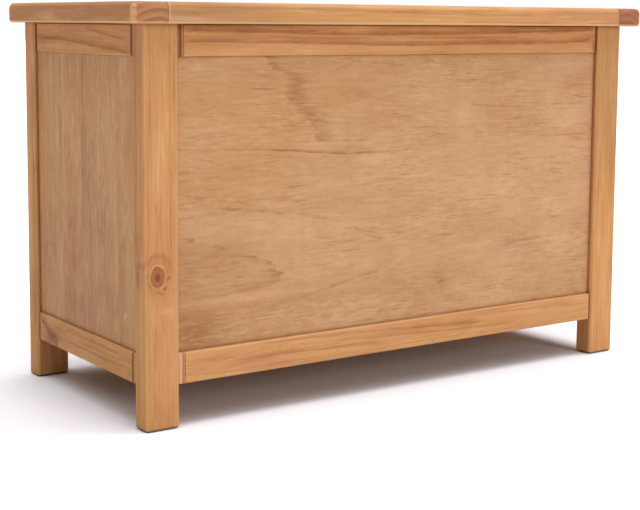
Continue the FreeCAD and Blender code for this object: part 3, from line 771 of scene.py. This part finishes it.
# Marks of the left end panel: places are (z, y)
LEFT_VEINS = [
    dict(points=[(0.16, 0.079), (0.30, 0.0765), (0.425, 0.0755)], width=0.004, strength=0.5, soft=-1),
    dict(points=[(0.09, 0.048), (0.16, 0.050), (0.30, 0.053)], width=0.004, strength=0.35),
    dict(points=[(0.25, 0.010), (0.32, 0.006), (0.42, 0.004)], width=0.003, strength=0.4),
]
LEFT_SPOTS = [
    dict(at=(0.33, 0.086), half=(0.07, 0.0025), tone=PALE, strength=0.55, torn=0.4),
    dict(at=(0.36, 0.066), half=(0.09, 0.003), tone=PALE, strength=0.5, torn=0.3),
    dict(at=(0.30, 0.098), half=(0.10, 0.012), tone=OLIVE, strength=0.6, torn=0.3),
    dict(at=(0.16, 0.052), half=(0.07, 0.006), tone=BROWN, strength=0.45),
    dict(at=(0.325, 0.006), half=(0.016, 0.016), tone=BROWN, strength=0.6, torn=0.9),
    dict(at=(0.29, 0.003), half=(0.045, 0.012), tone=PLUM, strength=0.6, torn=0.4),
    dict(at=(0.22, -0.02), half=(0.05, 0.05), tone=PLUM, strength=0.55, torn=0.7),
    dict(at=(0.14, -0.045), half=(0.02, 0.03), tone=PLUM, strength=0.6, torn=0.6),
    dict(at=(0.135, 0.022), half=(0.016, 0.02), tone=PALE, strength=0.4, torn=1.0),
    dict(at=(0.12, -0.098), half=(0.008, 0.003), tilt=-0.6, tone=PALE, strength=0.9, torn=0.2),
    dict(at=(0.25, 0.135), half=(0.2, 0.012), tone=ORANGE, strength=0.6, torn=0.3),
    dict(at=(0.30, -0.122), half=(0.2, 0.012), tone=ORANGE, strength=0.7, torn=0.3),
    dict(at=(0.33, -0.05), half=(0.08, 0.03), tone=SAND, strength=0.3, torn=0.6),
    dict(at=(0.11, 0.02), half=(0.03, 0.06), tone=PLUM, strength=0.5, torn=0.5),
    dict(at=(0.16, 0.11), half=(0.06, 0.02), tone=PLUM, strength=0.4, torn=0.5),
]

# Marks of the solid pieces that the photograph shows, by node
PIECE_MARKS = {
    "leg_front_left": dict(
        tones=(GOLD, APRICOT),
        knots=[dict(across="x", at=(0.176, -0.3525), half=(0.0125, 0.0085))],
        veins=[
            dict(across="x", width=0.0016, strength=0.5,
                 points=[(0.28, -0.3605), (0.38, -0.3615), (0.456, -0.362)]),
            dict(across="x", width=0.002, strength=0.3,
                 points=[(0.20, -0.335), (0.33, -0.337), (0.45, -0.336)]),
            dict(across="x", width=0.005, strength=0.35,
                 points=[(0.0, -0.3565), (0.06, -0.357), (0.13, -0.359)]),
            dict(across="y", width=0.004, strength=0.55,
                 points=[(0.20, -0.139), (0.32, -0.140), (0.45, -0.138)]),
            dict(across="y", width=0.003, strength=0.4,
                 points=[(0.0, -0.144), (0.10, -0.143), (0.20, -0.145)]),
            dict(across="y", width=0.002, strength=0.4,
                 points=[(0.25, -0.150), (0.35, -0.1495), (0.44, -0.151)]),
        ],
        spots=[
            dict(across="x", at=(0.137, -0.340), half=(0.004, 0.008), tone=STRAW, strength=0.6),
            dict(across="x", at=(0.252, -0.354), half=(0.004, 0.0015), tone=UMBER, strength=0.5),
            dict(across="x", at=(0.30, -0.352), half=(0.05, 0.010), tone=STRAW, strength=0.35),
            dict(across="x", at=(0.43, -0.348), half=(0.05, 0.012), tone=OLIVE, strength=0.4),
            dict(across="x", at=(0.10, -0.334), half=(0.05, 0.007), tone=PINK, strength=0.5),
            dict(across="y", at=(0.174, -0.141), half=(0.014, 0.006), tone=UMBER, strength=0.6),
            dict(across="y", at=(0.218, -0.142), half=(0.022, 0.008), tone=VEIN, strength=0.6),
            dict(across="y", at=(0.11, -0.147), half=(0.05, 0.008), tone=STRAW, strength=0.4),
            dict(across="y", at=(0.42, -0.141), half=(0.04, 0.012), tone=PLUM, strength=0.5),
        ],
    ),
    "leg_front_right": dict(
        run=[(0.0, 1.1), (0.15, 1.1), (0.28, 0.94), (0.456, 0.9)],
        spots=[
            dict(across="x", at=(0.36, 0.345), half=(0.08, 0.012), tone=OLIVE, strength=0.5),
            dict(across="x", at=(0.08, 0.35), half=(0.08, 0.012), tone=STRAW, strength=0.3),
        ],
    ),
    "leg_back_left": dict(
        veins=[
            dict(across="y", width=0.004, strength=0.5,
                 points=[(0.05, 0.147), (0.20, 0.146), (0.45, 0.147)]),
        ],
        spots=[
            dict(across="y", at=(0.272, 0.1445), half=(0.010, 0.0035), tone=UMBER, strength=0.7),
            dict(across="y", at=(0.11, 0.152), half=(0.02, 0.008), tone=PLUM, strength=0.6),
            dict(across="y", at=(0.36, 0.150), half=(0.05, 0.008), tone=PLUM, strength=0.4),
            dict(across="y", at=(0.28, 0.140), half=(0.25, 0.006), tone=VEIN, strength=0.5, torn=0.4),
        ],
    ),
    "rail_front_top": dict(
        veins=[
            dict(across="z", width=0.0045, strength=0.75, points=[
                (-0.33, 0.4365), (-0.24, 0.436), (-0.16, 0.4345), (-0.08, 0.4325),
                (0.0, 0.4312), (0.08, 0.432), (0.16, 0.4332), (0.24, 0.4332),
                (0.29, 0.4345), (0.31, 0.4375), (0.332, 0.447)]),
            # A late-wood line whose soft side, up to the lid, is also painted shadow of the lid
            dict(across="z", width=0.006, strength=0.85, points=[
                (-0.33, 0.4485), (-0.22, 0.447), (-0.10, 0.445), (0.02, 0.4445),
                (0.12, 0.446), (0.22, 0.448), (0.33, 0.4505)]),
            dict(across="z", width=0.0025, strength=0.5, points=[
                (-0.20, 0.4405), (-0.06, 0.439), (0.08, 0.4395), (0.20, 0.441)]),
        ],
        spots=[
            dict(across="z", at=(-0.27, 0.441), half=(0.05, 0.005), tone=OLIVE, strength=0.4),
            dict(across="z", at=(-0.08, 0.4495), half=(0.025, 0.0015), tone=STRAW, strength=0.6),
            dict(across="z", at=(0.05, 0.426), half=(0.40, 0.004), tone=STRAW, strength=0.4, torn=0.7),
            dict(across="z", at=(0.32, 0.428), half=(0.003, 0.008), tone=UMBER, strength=0.8, torn=0.2),
            # Painted shade on the recessed left end of the rail, under the lid
            dict(across="z", at=(-0.3195, 0.438), half=(0.0035, 0.05), tone=RUST, strength=0.6, torn=0.3),
        ],
    ),
    "rail_front_bottom": dict(
        insets=(0.0055, 0.0),
        seam=0.4,
        tones=(BISCUIT, PEACH),
        veins=[
            dict(across="z", width=0.003, strength=0.4, points=[
                (-0.22, 0.0825), (-0.06, 0.0785), (0.06, 0.072), (0.14, 0.069)]),
            dict(across="z", width=0.003, strength=0.4, points=[
                (-0.27, 0.069), (-0.14, 0.0655), (-0.02, 0.061)]),
            dict(across="z", width=0.003, strength=0.4, points=[
                (-0.12, 0.0735), (-0.02, 0.069), (0.10, 0.0635), (0.19, 0.061)]),
            dict(across="z", width=0.003, strength=0.3, points=[
                (0.08, 0.080), (0.20, 0.0775), (0.32, 0.073)]),
        ],
        spots=[
            # A painted highlight on the rounded left end of the rail
            dict(across="z", at=(-0.3232, 0.068), half=(0.0024, 0.05), tone=RAIL_END_HIGHLIGHT, strength=1.0, torn=0.2),
        ],
    ),
    "rail_left_top": dict(
        veins=[
            dict(across="z", width=0.0045, strength=0.85, points=[
                (0.145, 0.4362), (0.07, 0.436), (0.02, 0.433), (-0.03, 0.429),
                (-0.09, 0.425), (-0.13, 0.420)]),
            dict(across="z", width=0.0035, strength=0.65, points=[
                (0.0, 0.4515), (-0.03, 0.4465), (-0.06, 0.4425), (-0.12, 0.4365)]),
        ],
        spots=[
            dict(across="z", at=(0.12, 0.440), half=(0.05, 0.004), tone=VEIN, strength=0.5),
            dict(across="z", at=(0.02, 0.441), half=(0.03, 0.005), tone=OLIVE, strength=0.4),
            dict(across="z", at=(0.05, 0.428), half=(0.08, 0.003), tone=STRAW, strength=0.4),
            # Painted shade on the recessed end beside the near leg
            dict(across="z", at=(-0.126, 0.438), half=(0.004, 0.05), tone=BROWN, strength=0.6, torn=0.4),
        ],
    ),
    "rail_left_bottom": dict(
        veins=[
            dict(across="z", width=0.011, strength=1.0, fade=0.012, points=[
                (0.14, 0.083), (0.118, 0.070), (0.10, 0.060), (0.075, 0.050)]),
            dict(across="z", width=0.003, strength=0.4, points=[
                (0.09, 0.081), (0.0, 0.078), (-0.12, 0.076)]),
            dict(across="z", width=0.003, strength=0.4, points=[
                (0.06, 0.066), (-0.03, 0.063), (-0.12, 0.064)]),
        ],
        spots=[
            dict(across="z", at=(0.100, 0.060), half=(0.026, 0.011), tilt=-0.9, tone=UMBER, strength=0.8),
            dict(across="z", at=(-0.118, 0.068), half=(0.006, 0.012), tone=BROWN, strength=0.5, torn=0.9),
        ],
    ),
    "lid_board_front": dict(
        run=[(-0.35, 0.82), (-0.2, 0.93), (0.0, 1.03), (0.1, 1.08), (0.2, 1.04), (0.35, 0.94)],
        veins=[
            dict(across="z", width=0.003, strength=0.35, points=[
                (-0.30, 0.474), (-0.15, 0.473), (0.0, 0.470), (0.2, 0.468)]),
        ],
        spots=[
            dict(across="z", at=(-0.285, 0.472), half=(0.05, 0.005), tone=OLIVE, strength=0.6),
            dict(across="z", at=(-0.325, 0.4615), half=(0.035, 0.003), tilt=-0.5, tone=PALE, strength=0.85,
                 torn=0.3),
            dict(across="z", at=(-0.3448, 0.468), half=(0.0016, 0.03), tone=PALE, strength=0.7, torn=0.3),
            dict(across="z", at=(-0.14, 0.462), half=(0.05, 0.004), tone=BLUSH, strength=0.5),
        ],
    ),
    "lid_end_left": dict(
        spots=[dict(across="x", at=(0.0, -0.3462), half=(0.5, 0.0009), tone=UMBER, strength=0.7, torn=0.2)],
    ),
    "lid_end_right": dict(
        ends=(END_DARK, END_RING),
        spots=[dict(across="x", at=(0.0, 0.3462), half=(0.5, 0.0009), tone=UMBER, strength=0.7, torn=0.2)],
    ),
}

# How each lid board is cut from its log, and its knots on the upper side
BOARD_MARKS = {
    "lid_board_front": dict(
        pith=(0.01, -0.06), ring=0.0055, lean=(0.0, 0.02), figure=0.35, tones=(OAT, SALMON),
    ),
    "lid_board_mid_front": dict(
        pith=(-0.004, -0.034), ring=0.006, lean=(0.03, 0.045), figure=0.6, tones=(COPPER, BRICK),
        knots=[dict(across="y", at=(0.142, -0.055), half=(0.011, 0.007))],
    ),
    "lid_board_mid_back": dict(
        pith=(0.012, -0.040), ring=0.0065, lean=(-0.03, 0.06), figure=0.55, tones=(CORN, BLUSH),
    ),
    "lid_board_back": dict(
        pith=(0.005, -0.030), ring=0.0055, lean=(0.02, -0.04), figure=0.6,
        knots=[dict(across="y", at=(-0.212, 0.128), half=(0.012, 0.008))],
    ),
}

# How the other pieces are cut from their logs, and how pale their edges are: partly wear, partly painted
# highlight
SEED_STEP = 7.3
LEG_CUT = dict(pith=(0.09, 0.02), ring=0.0075, lean=(0.01, 0.0), figure=0.24)
RAIL_CUT = dict(pith=(-0.07, 0.03), ring=0.009, lean=(0.02, 0.0), wear_and_sheen=0.12)
CAP_CUT = dict(pith=(0.0, -0.037), ring=0.0085, lean=(0.0, 0.01), tones=(RUST, CLAY))
CAP_WEAR_AND_HIGHLIGHT = dict(wear_and_sheen=0.08, hem_highlight=0.5, corner_highlight=0.65)
BOARD_WEAR_AND_HIGHLIGHT = dict(wear_and_sheen=0.1, hem_highlight=0.6)
CLEAT_CUT = dict(pith=(0.03, -0.05), ring=0.005, lean=(0.0, 0.0))

# Dark seams: how far from the near and the far leg they lie, how dark those of the ends are; glue lines
LONG_SEAM_INSETS = (0.0042, 0.0)
END_SEAM_INSETS = (0.0064, 0.0036)
END_SEAM = 0.6
GLUE_LINE = dict(across="y", half=(2.0, 0.0008), tone=UMBER, strength=0.75, torn=0.2)

# Plywood panels
END_PANEL = dict(grain="z", across="y", contrast=1.35, bands=0.75, tones=(TOAST, TOAST_DEEP))
FRONT_MARKS = dict(tongues=FRONT_TONGUES, scars=FRONT_SCARS, veins=FRONT_VEINS, spots=FRONT_SPOTS)
PANELS = {
    "panel_front": dict(grain="x", across="z", contrast=1.2, **FRONT_MARKS),
    "panel_back": dict(grain="x", across="z"),
    "panel_left": dict(END_PANEL, veins=LEFT_VEINS, spots=LEFT_SPOTS),
    "panel_right": END_PANEL,
    "base_panel": dict(grain="x", across="y"),
}


def leg_finish(name, seed):
    """A leg, with the grain upright."""
    return timber(name, "z", seed=seed, **LEG_CUT, **PIECE_MARKS.get(name, {}))


def rail_finish(name, seed):
    """A rail, with a dark seam near each of the two legs that it joins."""
    marks = dict(PIECE_MARKS.get(name, {}))
    if name.startswith(("rail_front", "rail_back")):
        grain, far_leg = "x", "leg_front_right"
        insets = marks.pop("insets", LONG_SEAM_INSETS)
    else:
        grain, far_leg = "y", "leg_back_left"
        insets = marks.pop("insets", END_SEAM_INSETS)
        marks["seam"] = END_SEAM
    near_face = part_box("leg_front_left")[1][AXIS[grain]]
    far_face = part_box(far_leg)[0][AXIS[grain]]
    joints = (near_face + insets[0], far_face - insets[1])
    return timber(name, grain, seed=seed, joints=joints, **RAIL_CUT, **marks)


def board_finish(name, seed):
    """A lid board, with dark glue lines along the long edges that meet another board."""
    low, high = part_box(name)
    marks = dict(BOARD_MARKS[name], **PIECE_MARKS.get(name, {}))
    lines = []
    for edge, outer in ((low.y, "lid_board_front"), (high.y, "lid_board_back")):
        if name != outer:
            lines.append(dict(GLUE_LINE, at=(0.0, edge)))
    marks["spots"] = marks.get("spots", []) + lines
    return timber(name, "x", seed=seed, **BOARD_WEAR_AND_HIGHLIGHT, **marks)


def cap_finish(name, seed):
    """An end cap of the lid, with the grain across the boards."""
    return timber(name, "y", seed=seed, **CAP_CUT, **CAP_WEAR_AND_HIGHLIGHT, **PIECE_MARKS[name])


def cleat_finish(name, seed):
    """A cleat under the base panel, with the grain along the rail that it is screwed to."""
    grain = "x" if name in ("cleat_front", "cleat_back") else "y"
    return timber(name, grain, seed=seed, **CLEAT_CUT)


FAMILIES = {
    "leg_": leg_finish,
    "rail_": rail_finish,
    "lid_board": board_finish,
    "lid_end": cap_finish,
    "cleat_": cleat_finish,
}


def finish_for(name, seed):
    """The finish of one node, told by its name."""
    if name in PANELS:
        return veneer(name, seed=seed, **PANELS[name])
    if name.endswith("screws"):
        return metal(name, STEEL, STEEL_ROUGHNESS)
    for start, make in FAMILIES.items():
        if name.startswith(start):
            return make(name, seed)
    return metal(name, BRASS, BRASS_ROUGHNESS)


def dress_all():
    """Gives every node of the frame its finish."""
    for index, name in enumerate(sorted(nodes)):
        material = finish_for(name, index * SEED_STEP)
        for slot in nodes[name].material_slots:
            slot.link = "OBJECT"
            slot.material = material


def set_camera():
    """The camera that took the photograph."""
    data = bpy.data.cameras.new("photo_camera")
    data.sensor_width = SENSOR_WIDTH
    data.lens = FOCAL_PIXELS / IMAGE_WIDTH * SENSOR_WIDTH
    data.shift_y = (AXIS_ROW - IMAGE_HEIGHT / 2) / IMAGE_WIDTH
    camera = bpy.data.objects.new("photo_camera", data)
    bpy.context.scene.collection.objects.link(camera)
    level = math.cos(CAMERA_PITCH)
    forward = Vector((math.sin(CAMERA_YAW) * level, math.cos(CAMERA_YAW) * level, -math.sin(CAMERA_PITCH)))
    right = Vector((math.cos(CAMERA_YAW), -math.sin(CAMERA_YAW), 0.0))
    down = forward.cross(right)
    turned_right = right * math.cos(CAMERA_ROLL) + down * math.sin(CAMERA_ROLL)
    turned_up = right * math.sin(CAMERA_ROLL) - down * math.cos(CAMERA_ROLL)
    turn = Matrix((turned_right, turned_up, -forward)).transposed()
    camera.matrix_world = Matrix.Translation(CAMERA_PLACE) @ turn.to_4x4()
    bpy.context.scene.camera = camera


def add_floor():
    """A plain white floor: a little brighter and cooler to the camera, with a painted shadow close to the
    object.
    """
    half = FLOOR_SIZE / 2
    corners = [(x, y, -FLOOR_DROP) for x, y in ((-half, -half), (half, -half), (half, half), (-half, half))]
    mesh = bpy.data.meshes.new("floor")
    mesh.from_pydata(corners, [], [(0, 1, 2, 3)])
    floor = bpy.data.objects.new("floor", mesh)
    bpy.context.scene.collection.objects.link(floor)
    graph = Graph(bpy.data.materials.new("floor_white"))
    seen = graph.field(graph.node("ShaderNodeLightPath", {}), "Is Camera Ray")
    # Painted shadow: the floor is darkened where the object is near
    unshadowed_share = 1.0 - (1.0 - graph.crevice(FLOOR_PAINTED_SHADOW_REACH)) * FLOOR_PAINTED_SHADOW
    levels = [(seen * (level - FLOOR_ALBEDO) + FLOOR_ALBEDO) * unshadowed_share for level in FLOOR_SEEN]
    grey = graph.node("ShaderNodeCombineColor", dict(enumerate(levels)))
    surface = graph.node("ShaderNodeBsdfDiffuse", {"Color": grey.outputs[0]})
    graph.node("ShaderNodeOutputMaterial", {"Surface": surface.outputs[0]})
    mesh.materials.append(graph.owner)


def add_light():
    """Sky and lamps. The camera and reflections see a plain white background."""
    world = bpy.data.worlds.new("studio")
    bpy.context.scene.world = world
    graph = Graph(world)
    path = graph.node("ShaderNodeLightPath", {})
    seen = graph.field(path, "Is Camera Ray").math("MAXIMUM", graph.field(path, "Is Glossy Ray"))
    seen = seen.math("MAXIMUM", graph.field(path, "Is Transmission Ray"))
    height = graph.split("Generated")[2].math("MAXIMUM", 0.0)
    light = height.math("POWER", SKY_POWER) * SKY_RISE + SKY_LOW
    strength = light + seen * (1.0 - light)
    sky = graph.node("ShaderNodeBackground", {"Color": (1.0, 1.0, 1.0, 1.0), "Strength": strength})
    graph.node("ShaderNodeOutputWorld", {"Surface": sky.outputs[0]})

    for lamp in LAMPS:
        data = bpy.data.lights.new(lamp["name"], "SUN")
        data.energy = lamp["strength"]
        data.angle = LAMP_ANGLE
        holder = bpy.data.objects.new(lamp["name"], data)
        bpy.context.scene.collection.objects.link(holder)
        level = math.cos(lamp["elevation"])
        east, south = math.sin(lamp["azimuth"]) * level, math.cos(lamp["azimuth"]) * level
        way = Vector((east, -south, math.sin(lamp["elevation"])))
        holder.rotation_euler = (-way).to_track_quat("-Z", "Y").to_euler()


dress_all()
set_camera()
add_floor()
add_light()
bpy.context.scene.view_settings.view_transform = "Standard"
